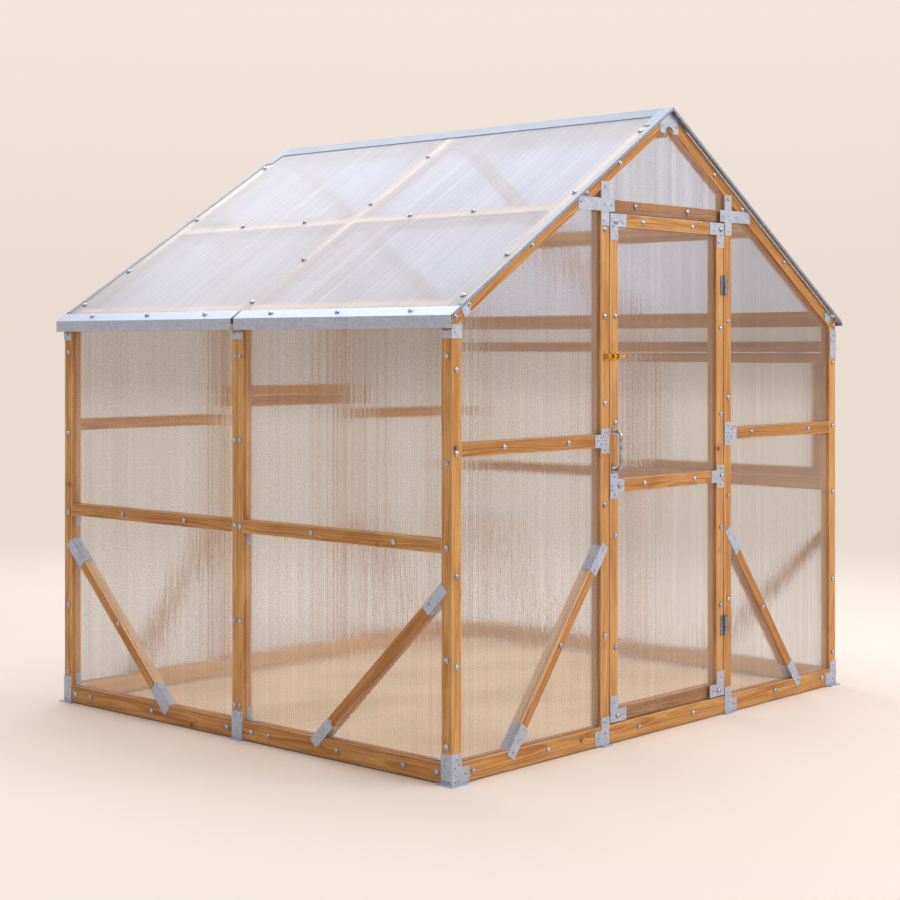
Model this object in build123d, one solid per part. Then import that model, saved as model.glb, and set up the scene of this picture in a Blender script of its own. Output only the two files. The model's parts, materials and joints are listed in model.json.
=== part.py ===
# Timber greenhouse with twin-wall glazing, a gable roof and a hinged door in the front gable.
# Millimetres. The origin is the middle of the plan at ground level, +Z is up,
# the front gable with the door faces -Y and the house's width runs along X.

from build123d import *
import math
import os

# The house: outer timber faces, roof pitch and the eaves.
house_width = 2320
house_depth = 2030
eave_height = 1480
roof_pitch = 32.7

# Timber sections.
timber = 45
stud_width = 26
stud_gap = 3
sill_height = 63
header_height = 44
ridge_board_width = 22
ridge_board_height = 90
brace_width = 35

# Glazing sheet, how far it lies behind the outer timber faces, and the gap at its sloping edges.
glazing = 6
glazing_setback = 10
glazing_gap = 2
sheet_joint = 4

# Heights of the rails, measured to their tops. Those of the side walls and the one under the back window
# are shares of the eaves' height. Over its window the right wall has an upper rail, below the eaves.
left_rail_share = 0.52
right_rail_share = 0.566
window_sill_rail_share = 0.7885
upper_rail_drop = 83
front_rail_top = 1072
back_rail_top = 1096

# Door opening and leaf. The header's top stays below the rafters by a set drop at the door posts.
door_opening_width = 710
header_drop = 58
door_gap = 6
door_mid_rail_top = 914

# Windows: one over a sill rail in the back gable, one in the right wall's front bay.
window_gap = 4
sash_timber = 40
window_hinge_width = 70
window_hinge_height = 44
window_hinge_inset = 120

# Roof sheets and folded metal trims.
trim = 2
ridge_clearance = 26
roof_sheet_overhang = 14
ridge_cap_leg = 62
verge_overhang = 20
verge_leg = 20
verge_lip = 8
apex_leg = 54
apex_length = 135
eave_trim_reach = 26
eave_leg = 52
fascia_height = 38
right_nose_height = 11
fascia_return = 8
eave_trim_gap = 16
purlin_from_wall = 565

# Flat plates, brackets and feet.
plate = 2
foot_plate = 5
foot_plate_margin = 15
shoe_height = 100
sill_tab_length = 34
sill_tab_height = 50
head_bracket_drop = 80
head_bracket_height = 44
rail_plate_height = 86
rail_plate_leg = 34
upper_bracket_height = 66
head_strap_below_header = 50
head_strap_above_header = 58
head_strap_reach = 125
header_leg = 30
rafter_strap_width = 34
rafter_strap_from_wall = 50
gusset_width = 110
gusset_height = 84
gusset_arch_radius = 25
angle_width = 24
angle_leg = 44
angle_setback = 4

# Braces: where the middle line starts and ends, from the outer corner, the ground or the left rail's top.
gable_brace_head_height = 690
gable_brace_foot_from_corner = 282
side_brace_head_from_corner = 33
side_brace_head_drop = 152
side_brace_foot_from_corner = 627
brace_foot_height = 46
brace_cap_length = 115
brace_cap_lip = 42
brace_cap_play = 0.5

# Door plates, hinges, pull handle and barrel bolt.
corner_plate_leg = 92
hinge_height = 74
hinge_leaf = 20
hinge_knuckle_radius = 5
hinge_pin_radius = 2
hinge_play = 0.05
hinge_seam = 0.3
hinge_off_face = 0.3
hinge_from_leaf_foot = 260
hinge_from_leaf_top = 232
handle_plate_gap = 2
handle_grip = 132
handle_reach = 34
handle_bar_radius = 5.5
handle_bend_radius = 16
handle_plate_width = 26
handle_plate_height = 24
bolt_middle_height = 1341
bolt_rod_radius = 4
bolt_rod_off_face = 8
bolt_rod_length = 80
bolt_rod_setback = 4
bolt_rod_play = 0.4
bolt_base_height = 34
bolt_guide_length = 12
bolt_guide_height = 16
bolt_keeper_length = 18
bolt_keeper_setback = 7
bolt_knob_radius = 3.5
bolt_knob_reach = 16
bolt_knob_from_end = 5

# How far a cutting shape runs past what it cuts.
overrun = 1

# The roof's slope, seen from the middle of the plan.
half_width = house_width / 2
half_depth = house_depth / 2
pitch = math.radians(roof_pitch)
rise = math.tan(pitch)
rafter_plumb_depth = timber / math.cos(pitch)
sheet_plumb_depth = glazing / math.cos(pitch)
trim_plumb_depth = trim / math.cos(pitch)


def rafter_top(x):
    """Height of the rafters' upper face at a distance x from the ridge line."""
    return eave_height + (half_width - abs(x)) * rise


def rafter_under(x):
    """Height of the rafters' lower face at a distance x from the ridge line."""
    return rafter_top(x) - rafter_plumb_depth


def sheet_top(x):
    """Height of the roof sheets' upper face."""
    return rafter_top(x) + sheet_plumb_depth


# Places that several pieces share.
sill_top = foot_plate + sill_height
inner_width = half_width - timber
inner_depth = half_depth - timber
glass_out = glazing_setback
glass_in = glazing_setback + glazing
jamb_in = door_opening_width / 2
jamb_out = jamb_in + timber
mid_post_half = stud_gap / 2 + stud_width
upper_rail_top = eave_height - upper_rail_drop
left_rail_top = eave_height * left_rail_share
right_rail_top = eave_height * right_rail_share
window_sill_rail_top = eave_height * window_sill_rail_share
head_bracket_bottom = eave_height - head_bracket_drop
header_top = rafter_under(jamb_in) - header_drop
door_opening_top = header_top - header_height
leaf_half = jamb_in - door_gap
leaf_bottom = sill_top + door_gap
leaf_top = door_opening_top - door_gap
door_mid_line = door_mid_rail_top - timber / 2
side_sheet_top = rafter_top(half_width - glass_out) - glazing_gap


def block(x_span, y_span, z_span):
    """A box between two values on each axis."""
    size = [abs(high - low) for low, high in (x_span, y_span, z_span)]
    low = [min(span) for span in (x_span, y_span, z_span)]
    return Pos(*low) * Box(*size, align=(Align.MIN, Align.MIN, Align.MIN))


def gable_prism(points, y_from, y_to):
    """An outline drawn in X and Z, carried along Y."""
    outline = Polyline(*[(x, y_from, z) for x, z in points], close=True)
    return extrude(make_face(outline), amount=abs(y_to - y_from), dir=(0, math.copysign(1, y_to - y_from), 0))


def side_prism(points, x_from, x_to):
    """An outline drawn in Y and Z, carried along X."""
    outline = Polyline(*[(x_from, y, z) for y, z in points], close=True)
    return extrude(make_face(outline), amount=abs(x_to - x_from), dir=(math.copysign(1, x_to - x_from), 0, 0))


def both_sides(solids):
    """The solids and their mirror images across the ridge line."""
    return solids + [mirror(solid, about=Plane.YZ) for solid in solids]


def front_and_back(solids):
    """The solids and their mirror images from front gable to back gable."""
    return solids + [mirror(solid, about=Plane.XZ) for solid in solids]


def to_back(solids):
    return [mirror(solid, about=Plane.XZ) for solid in solids]


def to_right(solids):
    return [mirror(solid, about=Plane.YZ) for solid in solids]


def under_rafter(x_from, x_to, z_from):
    """Outline of a post or a sheet that ends on the slope under the rafters."""
    return [(x_from, z_from), (x_to, z_from), (x_to, rafter_under(x_to)), (x_from, rafter_under(x_from))]


# Posts: the front left one, carried to the other corners by mirroring.
def corner_post():
    return gable_prism(under_rafter(-half_width, -inner_width, foot_plate), -half_depth, -inner_depth)


def jamb_post():
    return gable_prism(under_rafter(-jamb_out, -jamb_in, sill_top), -half_depth, -inner_depth)


def mid_studs():
    outline = under_rafter(-half_width, -inner_width, sill_top)
    return [gable_prism(outline, side * stud_gap / 2, side * mid_post_half) for side in (-1, 1)]


# Rails and sills of the left wall and the front gable.
def side_sill():
    return block((-half_width, -inner_width), (-inner_depth, inner_depth), (foot_plate, sill_top))


def gable_sill():
    return block((-inner_width, inner_width), (-half_depth, -inner_depth), (foot_plate, sill_top))


def side_rails(top):
    x_span = (-half_width, -inner_width)
    return front_and_back([block(x_span, (-inner_depth, -mid_post_half), (top - timber, top))])


def gable_rails(top):
    return both_sides([block((-inner_width, -jamb_out), (-half_depth, -inner_depth), (top - timber, top))])


def header(setback):
    """Beam over the middle bay. The front one lies behind the glazing that laps it."""
    y_span = (-half_depth + setback, -inner_depth)
    return block((-jamb_in, jamb_in), y_span, (door_opening_top, header_top))


# Roof timbers.
def rafter_pair(y_from, y_to):
    ridge_side = ridge_board_width / 2
    outline = [(-half_width, rafter_under(half_width)), (-ridge_side, rafter_under(ridge_side)),
               (-ridge_side, rafter_top(ridge_side)), (-half_width, rafter_top(half_width))]
    return both_sides([gable_prism(outline, y_from, y_to)])


def ridge_board():
    ridge_side = ridge_board_width / 2
    top = rafter_top(ridge_side)
    end = half_depth - glass_out - glazing
    return block((-ridge_side, ridge_side), (-end, end), (top - ridge_board_height, top))


def purlins():
    x_mid = half_width - purlin_from_wall
    half_run = timber * math.cos(pitch) / 2
    lean = timber * math.sin(pitch)
    drop = timber * math.cos(pitch)
    outer = x_mid + half_run
    inner = x_mid - half_run
    outline = [(-outer, rafter_top(outer)), (-inner, rafter_top(inner)),
               (-inner + lean, rafter_top(inner) - drop), (-outer + lean, rafter_top(outer) - drop)]
    return front_and_back(both_sides([gable_prism(outline, -inner_depth, -timber / 2)]))


def eave_purlins():
    outer = half_width - glass_in
    inner = outer - timber
    bottom = rafter_under(inner_width)
    outline = [(-outer, rafter_top(outer)), (-inner, rafter_top(inner)), (-inner, bottom), (-outer, bottom)]
    return front_and_back(both_sides([gable_prism(outline, -inner_depth, -timber / 2)]))


# Braces stand in the walls, flush with the outer faces. A bar and its folded end caps share one middle line.
def sloping_bar(head, foot, width, start, length):
    """Corners of a bar of a given width, from a start along the line from head to foot."""
    span = math.hypot(foot[0] - head[0], foot[1] - head[1])
    along = ((foot[0] - head[0]) / span, (foot[1] - head[1]) / span)
    across = (-along[1] * width / 2, along[0] * width / 2)
    ends = [(head[0] + along[0] * s, head[1] + along[1] * s) for s in (start, start + length)]
    (a, b), (c, d) = ends
    return [(a + across[0], b + across[1]), (c + across[0], d + across[1]),
            (c - across[0], d - across[1]), (a - across[0], b - across[1])]


def line_length(head, foot):
    return math.hypot(foot[0] - head[0], foot[1] - head[1])


gable_brace_head = (-(jamb_in + jamb_out) / 2, gable_brace_head_height)
gable_brace_foot = (-half_width + gable_brace_foot_from_corner, brace_foot_height)
side_brace_head = (-half_depth + side_brace_head_from_corner, left_rail_top - side_brace_head_drop)
side_brace_foot = (-half_depth + side_brace_foot_from_corner, brace_foot_height)


def brace(prism, head, foot, face, timbers):
    """A bar cut off at the timbers that it meets, a folded cap that ties each end to them, and their room."""
    length = line_length(head, foot)
    outline = sloping_bar(head, foot, brace_width, 0, length)
    bar = prism(outline, face, face + timber)
    room = bar
    caps = []
    for start in (-plate, length - brace_cap_length + plate):
        cap_outline = sloping_bar(head, foot, brace_width + 2 * plate, start, brace_cap_length)
        cap = prism(cap_outline, face - plate, face + brace_cap_lip) - bar
        for piece in timbers:
            cap -= piece
        caps.append(cap)
        room_width = brace_width + 2 * (plate + brace_cap_play)
        room_length = brace_cap_length + 2 * brace_cap_play
        room_outline = sloping_bar(head, foot, room_width, start - brace_cap_play, room_length)
        room += prism(room_outline, face, face + timber)
    for piece in timbers:
        bar -= piece
    return bar, caps, room


gable_brace, gable_caps, gable_room = brace(gable_prism, gable_brace_head, gable_brace_foot, -half_depth,
                                            (jamb_post(), gable_sill()))
side_brace, side_caps, side_room = brace(side_prism, side_brace_head, side_brace_foot, -half_width,
                                         (corner_post(), side_sill()))


# Glazing of the walls. The lower sheets are cut along the braces and round their caps.
def side_sheet(z_low, z_high):
    """A sheet between the front corner post and the middle post of the left wall."""
    x_span = (-half_width + glass_out, -half_width + glass_in)
    return block(x_span, (-inner_depth, -mid_post_half), (z_low, z_high))


def braced_sheet(rail_top):
    """The two pieces of a lower side sheet, above and below its brace."""
    return list((side_sheet(sill_top, rail_top - timber) - side_room).solids())


def left_panels():
    upper = side_sheet(left_rail_top, side_sheet_top)
    return front_and_back(braced_sheet(left_rail_top) + [upper])


def right_panels():
    """Sheets under the rail, over the upper rail and, in the back bay only, between them."""
    upper = side_sheet(upper_rail_top, side_sheet_top)
    middle = side_sheet(right_rail_top, upper_rail_top - timber)
    return to_right(front_and_back(braced_sheet(right_rail_top) + [upper]) + to_back([middle]))


def gable_bay_panels(rail_top):
    y_from = -half_depth + glass_out
    lower = block((-inner_width, -jamb_out), (y_from, y_from + glazing), (sill_top, rail_top - timber))
    upper = gable_prism(under_rafter(-inner_width, -jamb_out, rail_top), y_from, y_from + glazing)
    return both_sides(list((lower - gable_room).solids()) + [upper])


def gable_top_panel(bottom):
    y_from = -half_depth + glass_out
    ridge_side = ridge_board_width / 2
    peak = rafter_under(ridge_side)
    outline = [(-jamb_in, bottom), (jamb_in, bottom), (jamb_in, rafter_under(jamb_in)),
               (ridge_side, peak), (-ridge_side, peak), (-jamb_in, rafter_under(jamb_in))]
    return gable_prism(outline, y_from, y_from + glazing)


# Roof sheets, two on each slope, with a seam over the middle rafters.
def roof_sheets():
    inner = ridge_clearance
    outer = half_width + roof_sheet_overhang
    outline = [(-outer, rafter_top(outer)), (-inner, rafter_top(inner)),
               (-inner, sheet_top(inner)), (-outer, sheet_top(outer))]
    return front_and_back([gable_prism(outline, -half_depth - verge_overhang + trim, -sheet_joint / 2)])


def ridge_cap():
    reach = ridge_cap_leg * math.cos(pitch)
    outline = [(-reach, sheet_top(reach)), (0, sheet_top(0)), (reach, sheet_top(reach)),
               (reach, sheet_top(reach) + trim_plumb_depth), (0, sheet_top(0) + trim_plumb_depth),
               (-reach, sheet_top(reach) + trim_plumb_depth)]
    end = half_depth + verge_overhang - apex_leg
    return gable_prism(outline, -end, end)


def verge_trims():
    """Folded angles along the gable edges, from the eaves to the ridge, with a broader leg at the peak."""
    outer = half_width + roof_sheet_overhang - eave_leg * math.cos(pitch)
    lip_drop = verge_lip / math.cos(pitch)
    y_out = -half_depth - verge_overhang
    leg = [(-outer, sheet_top(outer)), (0, sheet_top(0)), (0, sheet_top(0) + trim_plumb_depth),
           (-outer, sheet_top(outer) + trim_plumb_depth)]
    low_end = half_width + roof_sheet_overhang
    lip = [(-low_end, sheet_top(low_end) - lip_drop), (0, sheet_top(0) - lip_drop),
           (0, sheet_top(0) + trim_plumb_depth), (-low_end, sheet_top(low_end) + trim_plumb_depth)]
    reach = apex_length * math.cos(pitch)
    broad = [(-reach, sheet_top(reach)), (0, sheet_top(0)), (0, sheet_top(0) + trim_plumb_depth),
             (-reach, sheet_top(reach) + trim_plumb_depth)]
    angle = gable_prism(leg, y_out, y_out + verge_leg) + gable_prism(lip, y_out, y_out + trim)
    return front_and_back(both_sides([angle + gable_prism(broad, y_out, y_out + apex_leg)]))


def eave_trims(nose_height):
    """Folded edge strips: a leg on the sheet, a drip nose and a fascia with a return at its foot."""
    nose = half_width + eave_trim_reach
    leg_end = nose - eave_leg * math.cos(pitch)
    top = sheet_top(nose)
    foot = top - nose_height
    outline = [(-leg_end, sheet_top(leg_end)), (-nose + trim, sheet_top(nose - trim)),
               (-nose + trim, foot + trim), (-nose + fascia_return, foot + trim),
               (-nose + fascia_return, foot), (-nose, foot),
               (-nose, top + trim_plumb_depth), (-leg_end, sheet_top(leg_end) + trim_plumb_depth)]
    y_end = -half_depth - verge_overhang + trim
    return front_and_back([gable_prism(outline, y_end, -eave_trim_gap / 2)])


# Feet, brackets and plates.
def face_plate(x_span, z_span):
    """A flat plate on the front gable's outer face."""
    return block(x_span, (-half_depth - plate, -half_depth), z_span)


def side_plate(y_span, z_span):
    """A flat plate on the left wall's outer face."""
    return block((-half_width - plate, -half_width), y_span, z_span)


def corner_foot():
    margin = foot_plate_margin
    base = block((-half_width - margin, -inner_width + margin), (-half_depth - margin, -inner_depth + margin),
                 (0, foot_plate))
    z_shoe = (foot_plate, shoe_height)
    z_tab = (foot_plate, foot_plate + sill_tab_height)
    front = block((-half_width - plate, -inner_width), (-half_depth - plate, -half_depth), z_shoe)
    side = block((-half_width - plate, -half_width), (-half_depth - plate, -inner_depth), z_shoe)
    tab = face_plate((-inner_width, -inner_width + sill_tab_length), z_tab)
    return base + front + side + tab


def jamb_foot():
    margin = foot_plate_margin
    base = block((-jamb_out - plate, -jamb_in + plate), (-half_depth - margin, -inner_depth + margin),
                 (0, foot_plate))
    tab = face_plate((-jamb_out - sill_tab_length, -jamb_out), (foot_plate, foot_plate + sill_tab_height))
    return base + face_plate((-jamb_out, -jamb_in), (foot_plate, shoe_height)) + tab


def mid_foot():
    margin = foot_plate_margin
    y_span = (-mid_post_half - plate, mid_post_half + plate)
    base = block((-half_width - margin, -inner_width + margin), y_span, (0, foot_plate))
    return base + side_plate((-mid_post_half, mid_post_half), (foot_plate, shoe_height))


def corner_head():
    z_front = (head_bracket_bottom, head_bracket_bottom + head_bracket_height)
    z_side = (head_bracket_bottom, rafter_under(half_width))
    front = block((-half_width - plate, -inner_width), (-half_depth - plate, -half_depth), z_front)
    side = block((-half_width - plate, -half_width), (-half_depth - plate, -inner_depth), z_side)
    return front + side


def mid_head():
    return side_plate((-mid_post_half, mid_post_half), (head_bracket_bottom, rafter_under(half_width)))


def upper_bracket():
    """Folded bracket on the corner post at the end of the right wall's upper rail."""
    z_span = (upper_rail_top - upper_bracket_height, upper_rail_top)
    front = block((-half_width - plate, -inner_width), (-half_depth - plate, -half_depth), z_span)
    return front + block((-half_width - plate, -half_width), (-half_depth - plate, -inner_depth), z_span)


def rail_plate(rail_top):
    """T-plate from a door post to the rail beside it."""
    middle = rail_top - timber / 2
    half = rail_plate_height / 2
    stem = face_plate((-jamb_out, -jamb_in), (middle - half, middle + half))
    return stem + face_plate((-jamb_out - rail_plate_leg, -jamb_out), (rail_top - timber, rail_top))


def head_strap():
    """Upright strap on a door post with a long arm out to the rafter and a short leg on the header."""
    z_span = (door_opening_top - head_strap_below_header, header_top + head_strap_above_header)
    stem = face_plate((-jamb_out, -jamb_in), z_span)
    arms = face_plate((-jamb_out - head_strap_reach, -jamb_in + header_leg), (door_opening_top, header_top))
    return stem + arms


def rafter_strap():
    """Short strap across the foot of a rafter."""
    x_mid = half_width - rafter_strap_from_wall
    half_run = rafter_strap_width * math.cos(pitch) / 2
    lean = timber * math.sin(pitch)
    drop = timber * math.cos(pitch)
    outer = x_mid + half_run
    inner = x_mid - half_run
    outline = [(-outer, rafter_top(outer)), (-inner, rafter_top(inner)),
               (-inner + lean, rafter_top(inner) - drop), (-outer + lean, rafter_top(outer) - drop)]
    return gable_prism(outline, -half_depth - plate, -half_depth)


def ridge_gusset():
    """Plate that ties the two front rafters to the ridge board, with an arched lower edge."""
    half = gusset_width / 2
    foot = rafter_top(half) - gusset_height + half * rise
    shoulder = rafter_top(half)
    outline = [(-half, foot), (half, foot), (half, shoulder), (0, rafter_top(0)), (-half, shoulder)]
    blank = gable_prism(outline, -half_depth - plate, -half_depth)
    arch = Rot(90, 0, 0) * Cylinder(gusset_arch_radius, plate + overrun)
    return blank - Pos(0, -half_depth - plate / 2, foot) * arch


def rail_angle(y_post, step, z_seat, direction):
    """Folded angle behind the glazing: one leg on a post's side, one leg on a rail or sill."""
    x_span = (-half_width + glass_in + angle_setback, -half_width + glass_in + angle_setback + angle_width)
    upright = block(x_span, (y_post, y_post + step * plate), (z_seat, z_seat + direction * angle_leg))
    flat = block(x_span, (y_post, y_post + step * angle_leg), (z_seat, z_seat + direction * plate))
    return upright + flat


def wall_angles(rail_top):
    """Angles under the side rails and on the sills, at the corner posts and the middle post."""
    angles = []
    for y_post, step in ((-inner_depth, 1), (-mid_post_half, -1)):
        angles.append(rail_angle(y_post, step, rail_top - timber, -1))
        angles.append(rail_angle(y_post, step, sill_top, 1))
    return front_and_back(angles)


# The door leaf.
def door_stiles():
    stile = block((-leaf_half, -leaf_half + timber), (-half_depth, -inner_depth), (leaf_bottom, leaf_top))
    return both_sides([stile])


def door_rails():
    x_span = (-leaf_half + timber, leaf_half - timber)
    tops = (leaf_top, door_mid_rail_top)
    rails = [block(x_span, (-half_depth, -inner_depth), (top - timber, top)) for top in tops]
    foot = block(x_span, (-half_depth + glass_in, -inner_depth), (leaf_bottom, leaf_bottom + timber))
    return rails + [foot]


def door_panels():
    x_span = (-leaf_half + timber, leaf_half - timber)
    y_span = (-half_depth + glass_out, -half_depth + glass_in)
    upper = block(x_span, y_span, (door_mid_rail_top, leaf_top - timber))
    lower = block(x_span, y_span, (leaf_bottom, door_mid_rail_top - timber))
    return [upper, lower]


def door_plates():
    """L-plates at the leaf's corners and T-plates at the ends of its middle rail."""
    stile_span = (-leaf_half, -leaf_half + timber)
    arm_span = (-leaf_half, -leaf_half + corner_plate_leg)
    top = face_plate(stile_span, (leaf_top - corner_plate_leg, leaf_top))
    top += face_plate(arm_span, (leaf_top - timber, leaf_top))
    foot = face_plate(stile_span, (leaf_bottom, leaf_bottom + corner_plate_leg))
    foot += face_plate(arm_span, (leaf_bottom, leaf_bottom + timber))
    half_tee = rail_plate_height / 2
    tee = face_plate(stile_span, (door_mid_line - half_tee, door_mid_line + half_tee))
    tee_span = (-leaf_half + timber, -leaf_half + timber + rail_plate_leg)
    tee += face_plate(tee_span, (door_mid_rail_top - timber, door_mid_rail_top))
    return both_sides([top, foot, tee])


# Butt hinges: the pin stands in the gap between leaf and post, in front of their faces.
hinge_x = jamb_in - door_gap / 2
hinge_y = -half_depth - hinge_off_face - hinge_knuckle_radius


def knuckle(z_low, z_high, radius):
    middle = (z_low + z_high) / 2
    return Pos(hinge_x, hinge_y, middle) * Cylinder(radius, z_high - z_low)


def hinge_plate(side, z_low, z_high, knuckles):
    """One hinge leaf: a plate on the face and the knuckles that it carries."""
    clear = hinge_knuckle_radius + 2 * hinge_seam
    near = hinge_x + side * clear
    leaf = face_plate((near, hinge_x + side * (clear + hinge_leaf)), (z_low, z_high))
    for low, high in knuckles:
        leaf += face_plate((hinge_x, near), (low, high))
        leaf += knuckle(low, high, hinge_knuckle_radius)
    return leaf


def hinge(middle):
    """The leaf on the door and the leaf on the post, with the pin on the post's side."""
    third = hinge_height / 3
    z_low = middle - hinge_height / 2
    z_high = middle + hinge_height / 2
    inner = (z_low + third + hinge_seam / 2, z_high - third - hinge_seam / 2)
    outer = ((z_low, z_low + third - hinge_seam / 2), (z_high - third + hinge_seam / 2, z_high))
    door_leaf = hinge_plate(-1, z_low, z_high, [inner])
    door_leaf -= knuckle(z_low - overrun, z_high + overrun, hinge_pin_radius + hinge_play)
    post_leaf = hinge_plate(1, z_low, z_high, outer) + knuckle(z_low, z_high, hinge_pin_radius)
    return door_leaf, post_leaf


def pull_handle():
    """A round bar bent to a bow, with a plate under each foot."""
    x_mid = -leaf_half + timber / 2
    face = -half_depth - plate
    low = door_mid_line + rail_plate_height / 2 + handle_plate_gap + handle_plate_height / 2
    high = low + handle_grip
    reach = face - handle_reach + handle_bar_radius
    bow = FilletPolyline((x_mid, face, low), (x_mid, reach, low), (x_mid, reach, high), (x_mid, face, high),
                         radius=handle_bend_radius)
    bar = sweep(Plane(bow @ 0, z_dir=bow % 0) * Circle(handle_bar_radius), path=bow)
    for z in (low, high):
        bar += face_plate((x_mid - handle_plate_width / 2, x_mid + handle_plate_width / 2),
                          (z - handle_plate_height / 2, z + handle_plate_height / 2))
    return bar


# Barrel bolt: base and guides on the leaf, keeper on the post, and a rod that slides between them.
bolt_y = -half_depth - bolt_rod_off_face


def bolt_bar(x_low, x_high, radius):
    middle = Pos((x_low + x_high) / 2, bolt_y, bolt_middle_height)
    return middle * Rot(0, 90, 0) * Cylinder(radius, x_high - x_low)


def bolt_guide(x_low, x_high):
    half = bolt_guide_height / 2
    y_out = bolt_y - half
    z_span = (bolt_middle_height - half, bolt_middle_height + half)
    guide = block((x_low, x_high), (y_out, -half_depth), z_span)
    return guide - bolt_bar(x_low - overrun, x_high + overrun, bolt_rod_radius + bolt_rod_play)


def bolt_case():
    left = -leaf_half + bolt_rod_setback
    right = -leaf_half + timber
    half = bolt_base_height / 2
    base = face_plate((left, right), (bolt_middle_height - half, bolt_middle_height + half))
    return base + bolt_guide(left, left + bolt_guide_length) + bolt_guide(right - bolt_guide_length, right)


def bolt_keeper():
    """A staple on the door post: a base, two cheeks and a bridge that leave a square eye for the rod."""
    right = -jamb_in - bolt_keeper_setback
    x_span = (right - bolt_keeper_length, right)
    half = bolt_base_height / 2
    base = face_plate(x_span, (bolt_middle_height - half, bolt_middle_height + half))
    eye = bolt_rod_radius + bolt_rod_play
    outer = bolt_guide_height / 2
    y_out = bolt_y - outer
    cheeks = []
    for side in (-1, 1):
        z_span = (bolt_middle_height + side * eye, bolt_middle_height + side * outer)
        cheeks.append(block(x_span, (y_out, -half_depth - plate), z_span))
    bridge = block(x_span, (y_out, bolt_y - eye), (bolt_middle_height - eye, bolt_middle_height + eye))
    return [base, bridge] + cheeks


def bolt_rod():
    left = -leaf_half + bolt_rod_setback
    right = left + bolt_rod_length
    knob_x = right - bolt_knob_from_end
    knob = Pos(knob_x, bolt_y - bolt_knob_reach / 2, bolt_middle_height) * Rot(90, 0, 0)
    return bolt_bar(left, right, bolt_rod_radius) + knob * Cylinder(bolt_knob_radius, bolt_knob_reach)


# The windows: a sash with its pane, and two strap hinges at its head.
def on_back(along, depth, z_span):
    """A box on the back gable, with its depth measured inwards from the outer face."""
    return block(along, (half_depth - depth[1], half_depth - depth[0]), z_span)


def on_right(along, depth, z_span):
    """A box on the right wall, with its depth measured inwards from the outer face."""
    return block((half_width - depth[1], half_width - depth[0]), along, z_span)


def sash(place, opening, z_opening):
    """Two stiles, two rails and a pane that leave a gap to the opening all round."""
    low, high = opening[0] + window_gap, opening[1] - window_gap
    foot, head = z_opening[0] + window_gap, z_opening[1] - window_gap
    inner = (low + sash_timber, high - sash_timber)
    z_inner = (foot + sash_timber, head - sash_timber)
    timbers = [place(span, (0, timber), (foot, head)) for span in ((low, inner[0]), (inner[1], high))]
    timbers += [place(inner, (0, timber), span) for span in ((foot, z_inner[0]), (z_inner[1], head))]
    return timbers, place(inner, (glass_out, glass_in), z_inner)


def sash_hinges(place, opening, z_head):
    """Flat straps across the gap at the head of a sash."""
    middle = z_head - window_gap / 2
    z_span = (middle - window_hinge_height / 2, middle + window_hinge_height / 2)
    starts = (opening[0] + window_hinge_inset, opening[1] - window_hinge_inset - window_hinge_width)
    return [place((start, start + window_hinge_width), (-plate, 0), z_span) for start in starts]


def back_infill():
    """The sheet under the back window's sill rail."""
    return on_back((-jamb_in, jamb_in), (glass_out, glass_in), (sill_top, window_sill_rail_top - timber))


# Every node and the solids in it.
post = corner_post()
front_bars = both_sides([gable_brace])
left_bars = front_and_back([side_brace])
low_hinge = hinge(leaf_bottom + hinge_from_leaf_foot)
high_hinge = hinge(leaf_top - hinge_from_leaf_top)
back_opening = (-jamb_in, jamb_in)
side_opening = (-inner_depth, -mid_post_half)
window_sill_rail = on_back(back_opening, (0, timber), (window_sill_rail_top - timber, window_sill_rail_top))
back_sash, back_pane = sash(on_back, back_opening, (window_sill_rail_top, door_opening_top))
side_sash, side_pane = sash(on_right, side_opening, (right_rail_top, upper_rail_top - timber))
window_hinges = sash_hinges(on_back, back_opening, door_opening_top)
window_hinges += sash_hinges(on_right, side_opening, upper_rail_top - timber)

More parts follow.
